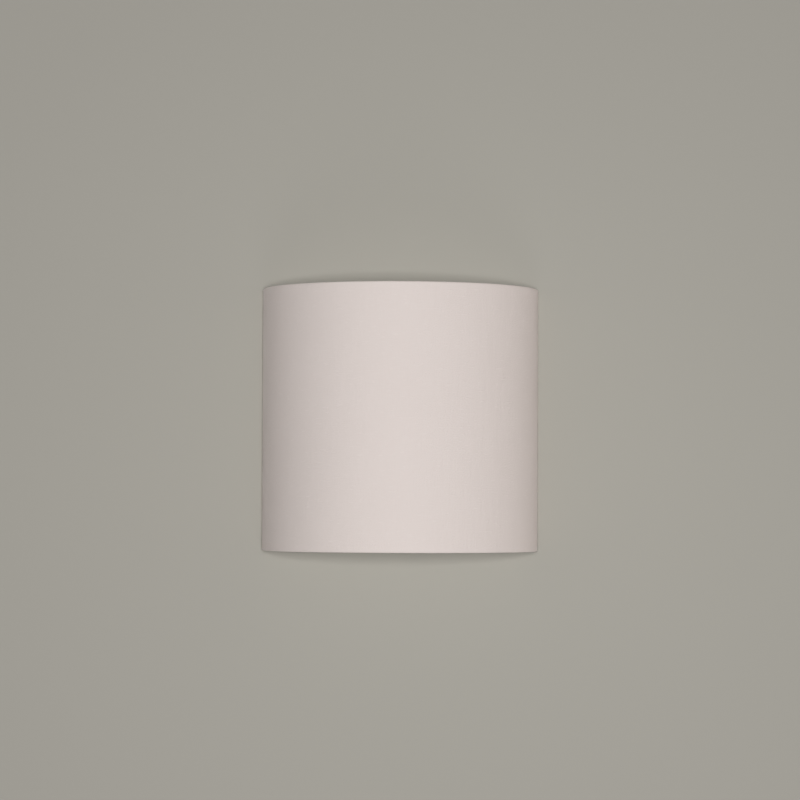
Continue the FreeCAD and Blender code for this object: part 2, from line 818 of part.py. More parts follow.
def make_bulb():
    tip = outline(
        in_lamp_section,
        (0, tip_z), (tip_radius * 0.5, tip_z),
        ((tip_radius * 0.85, tip_z + tip_height * 0.35), (tip_radius, tip_z + tip_height)),
        (0, tip_z + tip_height),
    )
    save("bulb_tip", turned(tip))

    ring_low = tip_z + tip_height
    insulator_top = tip_z + cap_start
    insulator = outline(
        in_lamp_section,
        (0, ring_low), (tip_radius + 0.8, ring_low), (insulator_top_radius, insulator_top - 0.8),
        (insulator_top_radius, insulator_top), (0, insulator_top),
    )
    save("bulb_insulator", turned(insulator))

    cap_low = insulator_top
    cap_high = cap_low + cap_height
    inner = cap_radius - cap_wall
    cap = outline(
        in_lamp_section,
        (0, cap_low), (insulator_top_radius, cap_low), (cap_radius, cap_low + 1.4), (cap_radius, cap_high),
        (inner, cap_high), (inner, cap_low + 1.8), (0, cap_low + 1.8),
    )
    save("bulb_cap", turned(cap))

    arc, meet = bulb_curve()
    meet_height = bulb_centre - bulb_radius * math.sin(meet)
    low = cap_high - tip_z
    half_way = (bulb_neck_top + meet_height) / 2
    high = (meet_height + bulb_collar_top) / 2
    outer_points = [on_bulb(h, 0) for h in (bulb_neck_top, half_way, meet_height, high, bulb_collar_top)]
    inner_points = [on_bulb(h, bulb_wall) for h in (bulb_neck_top, half_way, meet_height, high, bulb_collar_top)]
    inner_meet = on_bulb(bulb_centre - (bulb_radius - bulb_wall) * math.sin(meet), bulb_wall)
    collar = outline(
        in_lamp_section,
        (0, tip_z + low), (bulb_neck_radius, tip_z + low), outer_points[0],
        (outer_points[1], outer_points[2]), (outer_points[3], outer_points[4]),
        inner_points[4], (inner_points[3], inner_meet), (inner_points[1], inner_points[0]),
        (bulb_neck_radius - bulb_wall, tip_z + low + bulb_wall), (0, tip_z + low + bulb_wall),
    )
    save("bulb_collar", turned(collar))

    # The globe's lower edge sits inside the collar.
    board_top = bulb_collar_top - globe_lap
    seat = bulb_wall + 0.1
    pole = tip_z + bulb_centre + bulb_radius
    lap = outline(
        in_lamp_section,
        on_bulb(bulb_collar_top, 0), (on_bulb(bulb_centre, 0), (0, pole)),
        (0, pole - globe_wall), (on_bulb(bulb_centre, globe_wall), on_bulb(bulb_collar_top, seat + globe_wall)),
        on_bulb(board_top, seat + globe_wall), on_bulb(board_top, seat), on_bulb(bulb_collar_top, seat),
    )
    save("bulb_globe", turned(lap))

    board_z = tip_z + board_top - led_board_thickness
    board = pin(led_board_radius, Vector(0, lamp_y, board_z), UP, led_board_thickness)
    save("led_board", board)
    chips = []
    for k in range(led_count):
        a = 2 * math.pi * k / led_count
        corner = Vector(led_ring_radius * math.cos(a) - led_size / 2,
                        lamp_y + led_ring_radius * math.sin(a) - led_size / 2, board_z + led_board_thickness)
        chips.append(Part.makeBox(led_size, led_size, led_height, corner))
    save("led_chips", Part.makeCompound(chips))


# ---------------------------------------------------------------- terminal block and wiring


def way_positions():
    return [way_pitch * (k - (block_ways - 1) / 2) for k in range(block_ways)]


def clamp_heights():
    middle = block_bottom + way_length / 2
    return (middle - clamp_screw_spacing / 2, middle + clamp_screw_spacing / 2)


def make_terminal_block():
    top = block_bottom + way_length
    back = plate_inner_front
    web_width = way_pitch * (block_ways - 1) + way_width
    body = [Part.makeBox(web_width, block_web, way_length * 0.55,
                         Vector(-web_width / 2, back, block_bottom + way_length * 0.225))]
    tools = []
    inserts = []
    screws = []
    for x in way_positions():
        way = Part.makeBox(way_width, way_depth, way_length, Vector(x - way_width / 2, back, block_bottom))
        crown = [e for e in way.Edges
                 if e.BoundBox.YMin > back + way_depth - 0.01 and e.BoundBox.ZLength > way_length - 0.01]
        body.append(way.makeFillet(way_round, crown))
        tools.append(pin(insert_diameter / 2 + insert_play, Vector(x, insert_height, block_bottom - 1),
                         UP, way_length + 2))
        insert = pin(insert_diameter / 2, Vector(x, insert_height, block_bottom + insert_end_gap),
                     UP, way_length - 2 * insert_end_gap)
        insert_tools = [pin(insert_bore / 2, Vector(x, insert_height, block_bottom - 1), UP, way_length + 2)]
        for z in clamp_heights():
            foot = Vector(x, terminal_front - clamp_tower_height, z)
            body.append(pin(clamp_tower / 2, foot, TO_WALL, 2 * clamp_tower_height))
            axis = Vector(x, insert_height, z)
            depth = terminal_front + clamp_tower_height - insert_height
            tools.append(pin(clamp_screw_head / 2 + insert_play, axis, TO_WALL, depth + 1))
            insert_tools.append(pin(clamp_screw / 2 + insert_play, axis, TO_WALL, insert_diameter))
            seat = Vector(x, insert_height + insert_diameter / 2 + 1, z)
            reach = seat.y - insert_height - lead_diameter / 2
            head_height = terminal_front + clamp_tower_height - clamp_sink - seat.y
            screws.append(slotted_screw(clamp_screw, reach, clamp_screw_head, head_height, seat, FORWARD, 0.6, 0.8))
        inserts.append(cut(insert, *insert_tools))
    screw_axis = Vector(way_pitch / 2, back, (block_bottom + top) / 2)
    tools.append(pin(block_screw_thread / 2 + screw_play, screw_axis + FORWARD, TO_WALL, way_depth + 4))
    tools.append(pin(block_screw_head / 2 + screw_play, screw_axis + TO_WALL * block_web, TO_WALL, way_depth))
    save("terminal_block", cut(fused(body), *tools))
    save("terminal_inserts", Part.makeCompound(inserts))
    save("terminal_screws", Part.makeCompound(screws))
    fixing = slotted_screw(block_screw_thread, block_web + plate_sheet + 1, block_screw_head, 1.8,
                           screw_axis + TO_WALL * block_web, FORWARD, 0.7, 0.8)
    save("terminal_block_screw", fixing)


def make_grommet():
    """A rubber grommet in the plate's lower edge, where the lamp leads come out."""
    middle = -plate_top + plate_sheet / 2
    half = grommet_thickness / 2
    neck = grommet_hole / 2
    flange = grommet_flange / 2
    soft = half - plate_sheet / 2
    face = outline(
        lambda u, v: Vector(u, -grommet_setback, v),
        (grommet_bore / 2, middle - half), (flange - soft * 0.6, middle - half),
        ((flange - soft * 0.15, middle - half + soft * 0.4), (flange, middle - plate_sheet / 2)),
        (neck, middle - plate_sheet / 2), (neck, middle + plate_sheet / 2), (flange, middle + plate_sheet / 2),
        ((flange - soft * 0.15, middle + half - soft * 0.4), (flange - soft * 0.6, middle + half)),
        (grommet_bore / 2, middle + half),
    )
    save("lead_grommet", turned(face, Vector(0, -grommet_setback, 0)))


def lamp_lead(side, way):
    """From a way of the terminal block down through the grommet, under the arm and up into the lampholder."""
    x = way_positions()[way]
    spread = side * lead_spread
    entry = block_bottom + insert_end_gap + lead_entry
    grommet_y = -grommet_setback
    low = -plate_top
    return [
        Vector(x, insert_height, entry),
        Vector(x, insert_height, block_bottom - 12),
        Vector(x * 0.9, grommet_y - 3, -14),
        Vector(x * 0.35, grommet_y + 0.5, -40),
        Vector(spread, grommet_y, low + 8),
        Vector(spread, grommet_y, low - 16),
        Vector(spread, grommet_y - 7, low - 31),
        Vector(spread, grommet_y - 23, low - 37.5),
        Vector(spread, lamp_y + 15, low - 36.5),
        Vector(spread, lamp_y + 4, low - 34),
        Vector(spread, lamp_y, nipple_bottom - 1),
        Vector(spread, lamp_y, block_base_z + lead_entry),
    ]


def make_wiring():
    save("live_lead", lead(lamp_lead(-1, 0), "live_lead"))
    save("neutral_lead", lead(lamp_lead(1, 1), "neutral_lead"))

    seat = earth_screw_seat()
    back = plate_inner_front
    ring = pin(tag_diameter / 2, Vector(seat.x, back, seat.z), TO_WALL, tag_thickness)
    barrel_low = seat.z + tag_diameter / 2 + 0.4
    barrel_y = back + tag_barrel / 2
    neck = Part.makeBox(tag_barrel, tag_thickness, barrel_low + 1 - seat.z,
                        Vector(seat.x - tag_barrel / 2, back, seat.z))
    barrel = pin(tag_barrel / 2, Vector(seat.x, barrel_y, barrel_low), UP, tag_barrel_length)
    bore = pin(lead_diameter / 2 + 0.05, Vector(seat.x, barrel_y, barrel_low - 1), UP, tag_barrel_length + 2)
    hole = pin(screw_hole, Vector(seat.x, back - 1, seat.z), TO_WALL, tag_thickness + 2)
    save("earth_tag", cut(fused([ring, neck, barrel]), bore, hole))

    length = tag_thickness + plate_sheet + nut_height
    save("earth_screw", slotted_screw(screw_thread, length, screw_head, screw_head_height, seat, FORWARD))
    nut_seat = Vector(seat.x, plate_front, seat.z)
    nut = hexagon(nut_across_flats, nut_height, nut_seat, FORWARD)
    save("earth_nut", cut(nut, pin(screw_hole, nut_seat + TO_WALL, FORWARD, nut_height + 2)))

    x = way_positions()[2]
    points = [
        Vector(x, insert_height, block_bottom + insert_end_gap + lead_entry),
        Vector(x, insert_height, block_bottom - 10),
        Vector(x + 8, insert_height + 1, 0),
        Vector(seat.x - 4, barrel_y + 1, 2),
        Vector(seat.x, barrel_y, barrel_low + tag_barrel_length + 4),
        Vector(seat.x, barrel_y, barrel_low + 1),
    ]
    save("earth_lead", lead(points, "earth_lead"))


# ---------------------------------------------------------------- build

make_shade()
make_strap()
make_back_plate()
make_plate_screws()
make_lips()
make_arm()
make_arm_fasteners()
make_nipple()
make_holder()
make_bulb()
make_terminal_block()
make_grommet()
make_wiring()

os.makedirs("parts", exist_ok=True)
for name, shape in parts.items():
    shape.exportStep(os.path.join("parts", name + ".step"))
    solids = shape.Solids
    box = shape.BoundBox
    print(f"{name}: {len(solids)} solid(s), valid {shape.isValid()}, volume {shape.Volume:.1f}, "
          f"x {box.XMin:.2f}..{box.XMax:.2f} y {box.YMin:.2f}..{box.YMax:.2f} z {box.ZMin:.2f}..{box.ZMax:.2f}")
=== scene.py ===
"""Half-drum fabric wall light: its looks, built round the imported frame.

Metres, in the frame's own axes. The wall is the plane y = 0 and the light stands out towards -Y.
"""

import bmesh
import bpy
import json
import math
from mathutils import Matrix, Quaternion, Vector, noise

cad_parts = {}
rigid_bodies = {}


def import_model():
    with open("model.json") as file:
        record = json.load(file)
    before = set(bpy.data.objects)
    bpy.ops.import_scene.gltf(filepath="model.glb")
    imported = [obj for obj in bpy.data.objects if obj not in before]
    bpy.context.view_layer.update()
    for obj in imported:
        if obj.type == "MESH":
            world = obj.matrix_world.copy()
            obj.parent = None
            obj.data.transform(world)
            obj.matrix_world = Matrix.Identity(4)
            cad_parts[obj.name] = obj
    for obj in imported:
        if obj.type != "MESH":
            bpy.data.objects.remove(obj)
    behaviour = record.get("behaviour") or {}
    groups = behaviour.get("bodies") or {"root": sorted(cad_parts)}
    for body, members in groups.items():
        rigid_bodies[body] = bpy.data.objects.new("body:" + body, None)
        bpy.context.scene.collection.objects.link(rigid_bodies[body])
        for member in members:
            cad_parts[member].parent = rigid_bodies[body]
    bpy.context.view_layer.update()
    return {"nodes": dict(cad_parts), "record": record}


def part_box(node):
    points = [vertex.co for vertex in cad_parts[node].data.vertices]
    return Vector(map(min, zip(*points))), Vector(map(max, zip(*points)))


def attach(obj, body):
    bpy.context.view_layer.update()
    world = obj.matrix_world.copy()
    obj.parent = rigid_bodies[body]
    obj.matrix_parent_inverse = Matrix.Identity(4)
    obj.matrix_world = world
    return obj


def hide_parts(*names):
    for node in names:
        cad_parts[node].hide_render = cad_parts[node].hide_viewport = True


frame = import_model()
MM = 0.001
TURN = 2 * math.pi

# ---------------------------------------------------------------- sizes that the pieces share

CLOTH = 0.5 * MM
ROLL_X = 124.75 * MM  # from the shade's axis to the middle of a rolled edge
ROLL_Z = 118.25 * MM
ROLL_R = 2.0 * MM  # from the middle of a rolled edge to the middle of the cloth
WALL_R = ROLL_X + ROLL_R
BAND_R = 125.75 * MM  # the middle of the cloth that is turned in behind the liner
SIDE_BAND_X = 125.43 * MM
TUCK_R = 2.0 * MM
TURN_IN = 5.0 * MM
FOLD = 0.45  # how square the cloth turns over an edge: 1 is round, and less is squarer
ROLL_STEPS = 22
TUCK_STEPS = 7
FLAT_STEPS = 3
SHADE_AXIS_Y = -4.25 * MM
LAMP_Y = -64.0 * MM
LAMP_PITCH = 3.62 * MM  # of the bulb's screw thread
LAMP_CREST = 13.1 * MM  # the radius over that thread's crests
M4_PITCH = 0.7 * MM
LEAD_R = 1.1 * MM
UP = (0, 0, 1)
FORWARD = (0, -1, 0)

# ---------------------------------------------------------------- camera and light

LENS = 143.95
CAMERA_AT = (-0.0002, -2.96, -0.074)
CAMERA_AIM = (-0.0002, 0.0, 0.0190)
CAMERA_ROLL = 0.004
ROOM_LIGHT = 0.137  # how strongly the room lights surfaces
ROOM_SEEN = 0.62  # how bright it is where it is seen or mirrored
LIGHT_CENTRE = (0.0, -0.03, 0.0)


def turn_to(thing, aim):
    """Points a camera or lamp's -Z at a place."""
    thing.rotation_mode = "QUATERNION"
    thing.rotation_quaternion = (Vector(aim) - thing.location).to_track_quat("-Z", "Y")


def set_camera():
    data = bpy.data.cameras.new("camera")
    data.lens = LENS
    camera = bpy.data.objects.new("camera", data)
    bpy.context.scene.collection.objects.link(camera)
    camera.location = CAMERA_AT
    turn_to(camera, CAMERA_AIM)
    camera.rotation_quaternion = camera.rotation_quaternion @ Quaternion((0.0, 0.0, 1.0), CAMERA_ROLL)
    bpy.context.scene.camera = camera


def add_lamp(name, place, size, power, colour=(1.0, 1.0, 1.0)):
    """A square lamp that faces the wall light."""
    data = bpy.data.lights.new(name, "AREA")
    data.size = size
    data.energy = power
    data.color = colour
    lamp = bpy.data.objects.new(name, data)
    bpy.context.scene.collection.objects.link(lamp)
    lamp.location = place
    turn_to(lamp, LIGHT_CENTRE)


def light_room():
    """Lamps in front and below, and lamps behind the wall, which lets their light through.

    The room lights surfaces only weakly, but it is pale where it is seen or mirrored.
    """
    world = bpy.data.worlds.new("room")
    world.use_nodes = True
    tree = world.node_tree
    ray = tree.nodes.new("ShaderNodeLightPath")
    seen = tree.nodes.new("ShaderNodeMath")
    seen.operation = "MAXIMUM"
    strength = tree.nodes.new("ShaderNodeMapRange")
    strength.inputs["To Min"].default_value = ROOM_LIGHT
    strength.inputs["To Max"].default_value = ROOM_SEEN
    tree.links.new(ray.outputs["Is Camera Ray"], seen.inputs[0])
    tree.links.new(ray.outputs["Is Glossy Ray"], seen.inputs[1])
    tree.links.new(seen.outputs[0], strength.inputs["Value"])
    tree.links.new(strength.outputs["Result"], tree.nodes["Background"].inputs["Strength"])
    tree.nodes["Background"].inputs["Color"].default_value = (1.0, 1.0, 1.0, 1.0)
    bpy.context.scene.world = world
    bpy.context.scene.view_settings.view_transform = "Standard"
    add_lamp("front", (0.06, -3.35, -0.055), 0.6, 87.5)
    add_lamp("low", (0.15, -1.5, -1.3), 0.9, 3.4)
    add_lamp("side_left", (-1.80, 1.26, 0.0), 1.2, 2.3, (1.0, 0.90, 0.84))
    add_lamp("side_right", (2.125, 0.57, 0.0), 1.2, 9.5, (1.0, 0.91, 0.85))
    add_lamp("behind", (-0.5, 2.6, 0.9), 1.6, 40.0)


# ---------------------------------------------------------------- finishes


class Value:
    """A socket that takes part in sums, so that shader maths reads as a formula."""

    def __init__(self, finish, socket):
        self.finish = finish
        self.socket = socket

    def maths(self, operation, first, second):
        return self.finish.node("ShaderNodeMath", {"operation": operation}, {0: first, 1: second})

    def __add__(self, other):
        return self.maths("ADD", self, other)

    __radd__ = __add__

    def __rsub__(self, other):
        return self.maths("SUBTRACT", other, self)

    def __mul__(self, other):
        return self.maths("MULTIPLY", self, other)

    __rmul__ = __mul__


class Finish:
    """A material under construction."""

    def __init__(self, name, constants=None):
        self.material = bpy.data.materials.new(name)
        self.material.use_nodes = True
        self.tree = self.material.node_tree
        self.surface = self.tree.nodes["Principled BSDF"]
        for socket, value in (constants or {}).items():
            self.surface.inputs[socket].default_value = value

    def feed(self, socket, value):
        if isinstance(value, Value):
            self.tree.links.new(value.socket, socket)
        else:
            socket.default_value = value

    def node(self, kind, settings=None, sockets=None, output=0):
        made = self.tree.nodes.new(kind)
        for key, value in (settings or {}).items():
            setattr(made, key, value)
        for key, value in (sockets or {}).items():
            self.feed(made.inputs[key], value)
        return Value(self, made.outputs[output])

    def place(self, stretch=(1.0, 1.0, 1.0)):
        """The point on the piece in its own axes, stretched."""
        return self.stretched(self.node("ShaderNodeTexCoord", output="Object"), stretch)

    def stretched(self, vector, stretch):
        return self.node("ShaderNodeMapping", None, {"Vector": vector, "Scale": stretch})

    def axes(self, vector):
        """The X, Y and Z of a vector."""
        split = self.node("ShaderNodeSeparateXYZ", None, {"Vector": vector}).socket.node
        return [Value(self, output) for output in split.outputs]

    def cloudy(self, scale, detail=3.0, rough=0.55, at=None):
        """Noise from 0 to 1."""
        return self.node("ShaderNodeTexNoise", None,
                         {"Vector": at or self.place(), "Scale": scale, "Detail": detail, "Roughness": rough})

    def sine(self, value):
        return self.node("ShaderNodeMath", {"operation": "SINE"}, {0: value})

    def ramp(self, value, low, high):
        """The share of the way from low to high, kept from 0 to 1."""
        return self.node("ShaderNodeMapRange", {"clamp": True},
                         {"Value": value, "From Min": low, "From Max": high})

    def mix(self, share, first, second):
        """A colour between two. A Mix node has its colours at inputs 6 and 7 and output 2."""
        return self.node("ShaderNodeMix", {"data_type": "RGBA"},
                         {0: share, 6: first + (1.0,), 7: second + (1.0,)}, output=2)

    def paint(self, colour, roughness, height, depth, strength=0.35):
        """Feeds the surface: its colour, its roughness and a bump of the given depth."""
        self.feed(self.surface.inputs["Base Color"], colour)
        self.feed(self.surface.inputs["Roughness"], roughness)
        bump = self.node("ShaderNodeBump", None, {"Height": height, "Distance": depth, "Strength": strength})
        self.feed(self.surface.inputs["Normal"], bump)
        return self.material


WARP_PITCH = 0.42 * MM
WEFT_PITCH = 0.46 * MM
CLOTH_LOW = (0.708, 0.628, 0.592)
CLOTH_HIGH = (0.768, 0.689, 0.657)


def woven_cloth():
    """Fine plain weave with uneven yarns. It reads the cloth's own map, laid out flat in metres."""
    f = Finish("oyster_cloth", {"Specular IOR Level": 0.25, "Sheen Weight": 0.12, "Sheen Roughness": 0.45})
    flat = f.node("ShaderNodeUVMap", {"uv_map": "weave"})
    across, along, _ = f.axes(flat)
    wander = f.cloudy(420.0, 2.0, at=flat) * 2.2
    weave = f.sine(across * (TURN / WARP_PITCH) + wander) * f.sine(along * (TURN / WEFT_PITCH) + wander)
    down_warp = f.stretched(flat, (1.0, 0.10, 1.0))
    along_weft = f.stretched(flat, (0.10, 1.0, 1.0))
    thin_slub = f.cloudy(850.0, 4.0, 0.62, down_warp)
    thick_slub = f.cloudy(240.0, 3.0, 0.6, down_warp)
    weft_slub = f.cloudy(950.0, 3.0, 0.6, along_weft)
    fleck = f.ramp(f.cloudy(430.0, 1.0, 0.5, f.stretched(flat, (0.35, 1.0, 1.0))), 0.62, 0.74)
    patch = f.cloudy(16.0, at=flat)
    tone = thin_slub * 0.35 + thick_slub * 0.15 + weft_slub * 0.35 + patch * 0.3 + weave * 0.08 + fleck * 0.3
    height = weave * 0.25 + thin_slub * 0.65 + thick_slub * 1.3 + weft_slub * 0.4 + fleck * 0.6
    return f.paint(
        f.mix(f.ramp(tone, 0.10, 1.05), CLOTH_LOW, CLOTH_HIGH),
        0.86 - thin_slub * 0.1,
        height, 0.22 * MM, 0.95,
    )


def lining():
    """The smooth white styrene that the cloth is laid on."""
    f = Finish("white_liner", {"Specular IOR Level": 0.4})
    return f.paint(
        f.mix(f.cloudy(30.0), (0.78, 0.765, 0.73), (0.84, 0.83, 0.80)),
        0.5 + f.cloudy(90.0) * 0.15,
        f.cloudy(1500.0, 2.0), 0.05 * MM,
    )


def powder_coat(name, dark, light, grain, depth):
    """Satin powder coat with its fine orange peel and a few duller patches."""
    f = Finish(name, {"Coat Weight": 0.15, "Coat Roughness": 0.25})
    patch = f.cloudy(22.0)
    return f.paint(f.mix(patch, dark, light), 0.36 + patch * 0.12, f.cloudy(grain, 2.0, 0.4), depth * MM)


def plated(name, dark, light, dullness, rolled=(1.0, 1.0, 1.0)):
    """Plated or rolled metal: mottled, with fine scratches and dull spots."""
    f = Finish(name, {"Metallic": 1.0})
    mottle = f.cloudy(160.0, 4.0, 0.6, f.place(rolled))
    scratch = f.cloudy(900.0, 3.0, 0.7, f.place((rolled[0] * 0.08, rolled[1], rolled[2])))
    return f.paint(
        f.mix(f.ramp(mottle, 0.3, 0.7), dark, light),
        dullness + f.ramp(scratch, 0.45, 0.8) * 0.18 + f.ramp(mottle, 0.55, 0.75) * 0.1,
        scratch * 0.6 + mottle * 0.4, 0.03 * MM, 0.4,
    )


def moulded(name, dark, light, dullness, grain=600.0, depth=0.04, constants=None):
    """Moulded plastic, rubber or fired clay: nearly even, with a faint cloud and skin."""
    f = Finish(name, constants)
    cloud = f.cloudy(60.0)
    return f.paint(f.mix(cloud, dark, light), dullness + cloud * 0.12, f.cloudy(grain, 3.0), depth * MM)


def felt():
    f = Finish("grey_felt", {"Specular IOR Level": 0.2, "Sheen Weight": 0.3})
    fibres = f.cloudy(1500.0, 5.0, 0.75)
    return f.paint(
        f.mix(f.ramp(fibres, 0.3, 0.7), (0.11, 0.105, 0.10), (0.27, 0.26, 0.25)),
        0.9 + fibres * 0.08,
        fibres, 0.25 * MM, 0.8,
    )


STRIPE_RISE = 30.0 * MM  # of the yellow stripe's winding, for one turn


def striped_insulation():
    """Green insulation with a yellow stripe that winds slowly round it. It reads the lead's own map."""
    f = Finish("green_yellow_lead")
    round_it, along, _ = f.axes(f.node("ShaderNodeUVMap", {"uv_map": "wound"}))
    wave = f.sine(round_it * TURN + along * (TURN / STRIPE_RISE))
    return f.paint(
        f.mix(f.ramp(wave, -0.08, 0.08), (0.03, 0.20, 0.045), (0.72, 0.58, 0.03)),
        0.42 + f.cloudy(200.0) * 0.1,
        f.cloudy(1500.0, 2.0), 0.02 * MM,
    )


def make_finishes():
    """One finish for each of the record's material slots."""
    for old in list(bpy.data.materials):
        bpy.data.materials.remove(old)
    made = [
        woven_cloth(),
        lining(),
        felt(),
        striped_insulation(),
        powder_coat("white_wire", (0.73, 0.725, 0.70), (0.78, 0.775, 0.755), 2200.0, 0.06),
        powder_coat("white_powder_coat", (0.765, 0.76, 0.735), (0.82, 0.815, 0.79), 1400.0, 0.09),
        plated("zinc_steel", (0.50, 0.52, 0.55), (0.68, 0.69, 0.70), 0.30, (0.3, 1.0, 1.0)),
        plated("nickel_screw", (0.60, 0.58, 0.55), (0.74, 0.72, 0.69), 0.22),
        plated("rivet_aluminium", (0.62, 0.62, 0.63), (0.76, 0.76, 0.77), 0.34),
        plated("brass", (0.56, 0.40, 0.16), (0.78, 0.60, 0.28), 0.26),
        plated("tinned_copper", (0.60, 0.59, 0.56), (0.76, 0.75, 0.72), 0.34),
        plated("bulb_nickel", (0.62, 0.61, 0.59), (0.78, 0.77, 0.75), 0.24),
        moulded("white_plastic", (0.74, 0.73, 0.69), (0.79, 0.78, 0.745), 0.27),
        moulded("steatite", (0.66, 0.62, 0.55), (0.74, 0.71, 0.65), 0.62, 900.0, 0.08),
        moulded("bush_plastic", (0.012, 0.012, 0.013), (0.022, 0.022, 0.024), 0.35),
        moulded("terminal_plastic", (0.68, 0.65, 0.55), (0.76, 0.74, 0.66), 0.38),
        moulded("black_rubber", (0.014, 0.014, 0.014), (0.03, 0.03, 0.03), 0.6, 1200.0, 0.06),
        moulded("brown_lead", (0.070, 0.026, 0.012), (0.10, 0.040, 0.018), 0.42, 1500.0, 0.02),
        moulded("blue_lead", (0.012, 0.06, 0.26), (0.02, 0.09, 0.34), 0.42, 1500.0, 0.02),
        moulded("black_insulator", (0.008, 0.008, 0.01), (0.016, 0.016, 0.018), 0.16),
        moulded("bulb_white", (0.78, 0.78, 0.76), (0.82, 0.82, 0.80), 0.30, 1100.0, 0.05),
        moulded("opal_globe", (0.85, 0.845, 0.82), (0.87, 0.865, 0.84), 0.38, 2400.0, 0.02, {
            "Subsurface Weight": 0.25, "Subsurface Scale": 0.01, "Subsurface Radius": (1.0, 0.95, 0.85),
        }),
        moulded("board_white", (0.76, 0.76, 0.74), (0.80, 0.80, 0.78), 0.4),
        moulded("led_yellow", (0.80, 0.62, 0.12), (0.86, 0.68, 0.18), 0.35),
    ]
    return {material.name: material for material in made}


# ---------------------------------------------------------------- ways of working


def deselect():
    if bpy.context.object and bpy.context.object.mode != "OBJECT":
        bpy.ops.object.mode_set(mode="OBJECT")
    for piece in bpy.data.objects:
        piece.select_set(False)


def activate(piece):
    deselect()
    piece.select_set(True)
    bpy.context.view_layer.objects.active = piece


def edit_all(piece):
    """Edit mode with everything selected."""
    activate(piece)
    bpy.ops.object.mode_set(mode="EDIT")
    bpy.ops.mesh.select_all(action="SELECT")


def settle(piece):
    """Puts the object's place and size into its mesh."""
    activate(piece)
    bpy.ops.object.transform_apply(location=True, rotation=True, scale=True)


def apply_modifier(piece, kind, **settings):
    activate(piece)
    made = piece.modifiers.new(kind.lower(), kind)
    for key, value in settings.items():
        setattr(made, key, value)
    bpy.ops.object.modifier_apply(modifier=made.name)


def merge_and_face_out(piece):
    edit_all(piece)
    bpy.ops.mesh.remove_doubles(threshold=1e-7)
    bpy.ops.mesh.normals_make_consistent(inside=False)
    bpy.ops.object.mode_set(mode="OBJECT")


def smooth(piece, angle):
    activate(piece)
    bpy.ops.object.shade_smooth_by_angle(angle=math.radians(angle))


def joined(pieces):
    activate(pieces[0])
    for piece in pieces:
        piece.select_set(True)
    bpy.ops.object.join()
    return pieces[0]


def from_mesh(name, mesh):
    piece = bpy.data.objects.new(name, mesh)
    bpy.context.scene.collection.objects.link(piece)
    return piece


def line_of_edges(name, points):
    """An open line drawn from point to point."""
    deselect()
    bpy.ops.mesh.primitive_plane_add(size=MM, location=points[0])
    piece = bpy.context.object
    piece.name = name
    settle(piece)
    edit_all(piece)
    bpy.ops.mesh.merge(type="CENTER")
    for start, end in zip(points, points[1:]):
        step = tuple(e - s for s, e in zip(start, end))
        bpy.ops.mesh.extrude_vertices_move(TRANSFORM_OT_translate={"value": step})
    bpy.ops.object.mode_set(mode="OBJECT")
    return piece


def spun(name, centre, axis, section, steps):
    """A section of (radius, along the axis) points, spun a full turn."""
    centre, axis = Vector(centre), Vector(axis)
    side = axis.orthogonal().normalized()
    piece = line_of_edges(name, [centre + side * radius + axis * along for radius, along in section])
    edit_all(piece)
    bpy.ops.mesh.spin(steps=steps, angle=TURN, center=centre, axis=axis)
    bpy.ops.object.mode_set(mode="OBJECT")
    merge_and_face_out(piece)
    return piece


def threaded(name, radii, pitch, low, high, steps, closed):
    """A right-hand thread about Z: one pitch of radii, swept up its helix and cut off square at both ends.

    The radii start a whole number of pitches up, so that threads of one pitch fit each other.
    """
    first = math.floor(low / pitch - 1) * pitch
    rise = pitch / (len(radii) - 1)
    piece = line_of_edges(name, [(radius, 0, first + rise * k) for k, radius in enumerate(radii)])
    turns = math.ceil((high - first) / pitch) + 1
    apply_modifier(piece, "SCREW", angle=TURN, screw_offset=pitch, iterations=turns,
                   steps=steps, render_steps=steps)
    merge_and_face_out(piece)
    for height, away in ((low, -1), (high, 1)):
        edit_all(piece)
        bpy.ops.mesh.bisect(plane_co=(0, 0, height), plane_no=(0, 0, away), clear_outer=True,
                            use_fill=closed)
        bpy.ops.object.mode_set(mode="OBJECT")
    merge_and_face_out(piece)
    return piece


def fade_thread(piece, plain, low, high, reach):
    """Brings both ends of a thread to a plain radius, over a reach."""
    for vertex in piece.data.vertices:
        share = max(0.0, min(1.0, (vertex.co.z - low) / reach, (high - vertex.co.z) / reach))
        share = share * share * (3 - 2 * share)
        radius = math.hypot(vertex.co.x, vertex.co.y)
        scale = (plain + (radius - plain) * share) / radius
        vertex.co.x *= scale
        vertex.co.y *= scale


def finish_piece(piece, body, slot, *nodes):
    """Gives a finished piece its material and its body, and puts it in the place of the nodes."""
    piece.data.materials.clear()
    piece.data.materials.append(finishes[slot])
    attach(piece, body)
    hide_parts(*nodes)


# ---------------------------------------------------------------- the cloth


def rolled_path(tuck_depth):
    """The middle of the cloth at an edge, from the roll's outermost point to the end of the turn-in.

    On its outer side the cloth turns more tightly than the wire, as cloth does when it is pressed.
    Points are (outwards, beyond), measured from the middle of the wire.
    """
    around = math.acos(1 - tuck_depth / (ROLL_R + TUCK_R))
    points = []
    for k in range(ROLL_STEPS + 1):
        a = (math.pi + around) * k / ROLL_STEPS
        out, beyond = math.cos(a), math.sin(a)
        if out > 0:
            out, beyond = out ** FOLD, beyond ** FOLD
        points.append((ROLL_R * out, ROLL_R * beyond))
    across = (ROLL_R + TUCK_R) * math.cos(math.pi + around)
    along = (ROLL_R + TUCK_R) * math.sin(math.pi + around)
    for k in range(1, TUCK_STEPS + 1):
        a = around * (1 - k / TUCK_STEPS)
        points.append((across + TUCK_R * math.cos(a), along + TUCK_R * math.sin(a)))
    out, beyond = points[-1]
    for k in range(1, FLAT_STEPS + 1):
        points.append((out, beyond - TURN_IN * k / FLAT_STEPS))
    return points


